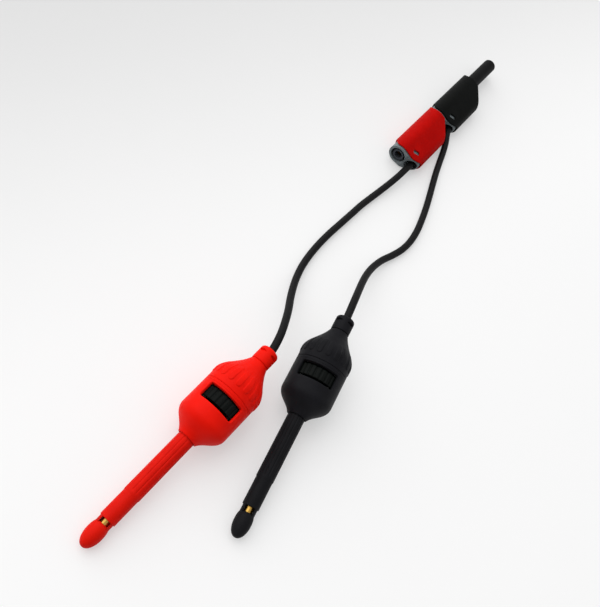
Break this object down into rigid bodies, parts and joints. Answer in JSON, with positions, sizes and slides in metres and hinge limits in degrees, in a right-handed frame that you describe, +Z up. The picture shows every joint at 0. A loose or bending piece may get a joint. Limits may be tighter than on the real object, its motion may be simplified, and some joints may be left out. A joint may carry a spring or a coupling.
{
  "type": "thumbwheel test probe pair with stackable safety plugs",
  "caption": "Red and black thumbwheel-operated test probes on short black leads that end in stacked shrouded safety plugs, with the clamping tips driven by lead screws.",
  "frame": {"origin": "on the table plane under the middle of the black plug body, at the centre of its flat underside", "axes": "+Y is the direction in which the plugs point, +X is to the right of the plugs seen from above and behind them, +Z is up"},
  "size_m": [0.0733, 0.3639, 0.027],
  "materials": {
    "red_plastic": "satin moulded thermoplastic, warm red",
    "black_plastic": "satin moulded thermoplastic, black",
    "wheel_plastic": "fine satin moulded plastic, black",
    "brass": "turned brass, lightly polished",
    "spring_brass": "rolled spring brass strip",
    "steel": "ground dowel steel",
    "nylon": "natural nylon",
    "cable_jacket": "soft silicone jacket, satin black",
    "red_plug": "satin moulded thermoplastic, deep red",
    "black_plug": "satin moulded thermoplastic, black",
    "grey_plastic": "satin moulded thermoplastic, blue grey",
    "shroud_plastic": "rigid satin plastic, black"
  },
  "bodies": {
    "black_lead": {"black_barrel": "black_plastic", "black_guide_sleeve": "brass", "black_key_pin": "steel", "black_front_housing": "black_plastic", "black_front_washer": "nylon", "black_rear_washer": "nylon", "black_lock_ring": "black_plastic", "black_rear_cap": "black_plastic", "black_contact_socket": "brass", "black_cable_collar": "black_plastic", "black_cord": "cable_jacket", "black_plug_shell": "black_plug", "black_plug_core": "grey_plastic", "black_plug_shroud": "shroud_plastic", "black_plug_pin": "brass", "black_plug_lantern": "spring_brass", "black_plug_socket": "brass", "black_plug_liner": "grey_plastic", "black_plug_bus_bar": "brass", "black_plug_crimp": "brass"},
    "black_wheel": {"black_thumbwheel": "wheel_plastic", "black_drive_nut": "brass"},
    "black_tip": {"black_tip_cap": "black_plastic", "black_spindle": "brass"},
    "red_lead": {"red_barrel": "red_plastic", "red_guide_sleeve": "brass", "red_key_pin": "steel", "red_front_housing": "red_plastic", "red_front_washer": "nylon", "red_rear_washer": "nylon", "red_lock_ring": "red_plastic", "red_rear_cap": "red_plastic", "red_contact_socket": "brass", "red_cable_collar": "red_plastic", "red_cord": "cable_jacket", "red_plug_shell": "red_plug", "red_plug_core": "grey_plastic", "red_plug_shroud": "shroud_plastic", "red_plug_pin": "brass", "red_plug_lantern": "spring_brass", "red_plug_socket": "brass", "red_plug_liner": "grey_plastic", "red_plug_bus_bar": "brass", "red_plug_crimp": "brass"},
    "red_wheel": {"red_thumbwheel": "wheel_plastic", "red_drive_nut": "brass"},
    "red_tip": {"red_tip_cap": "red_plastic", "red_spindle": "brass"}
  },
  "joints": [
    {"name": "red_plug_unplug", "type": "slide", "parent": "black_lead", "child": "red_lead", "axis": [0, -1, 0], "range_m": [0, 0.025]},
    {"name": "black_thumbwheel_turn", "type": "hinge", "parent": "black_lead", "child": "black_wheel", "pos_m": [0.04219, -0.20466, 0.0131], "axis": [-0.238, 0.9617, 0.1359], "range_deg": [-270, 1440]},
    {"name": "black_tip_travel", "type": "slide", "parent": "black_lead", "child": "black_tip", "axis": [0.238, -0.9617, -0.1359], "range_m": [-0.0015, 0.008]},
    {"name": "red_thumbwheel_turn", "type": "hinge", "parent": "red_lead", "child": "red_wheel", "pos_m": [0.01876, -0.24409, 0.01311], "axis": [0.0173, 0.9904, 0.137], "range_deg": [-270, 1440]},
    {"name": "red_tip_travel", "type": "slide", "parent": "red_lead", "child": "red_tip", "axis": [-0.0173, -0.9904, -0.137], "range_m": [-0.0015, 0.008]}
  ],
  "couplings": [
    {"joint": "black_thumbwheel_turn", "follows": "black_tip_travel", "rad_per_m": 3141.6},
    {"joint": "red_thumbwheel_turn", "follows": "red_tip_travel", "rad_per_m": 3141.6}
  ]
}
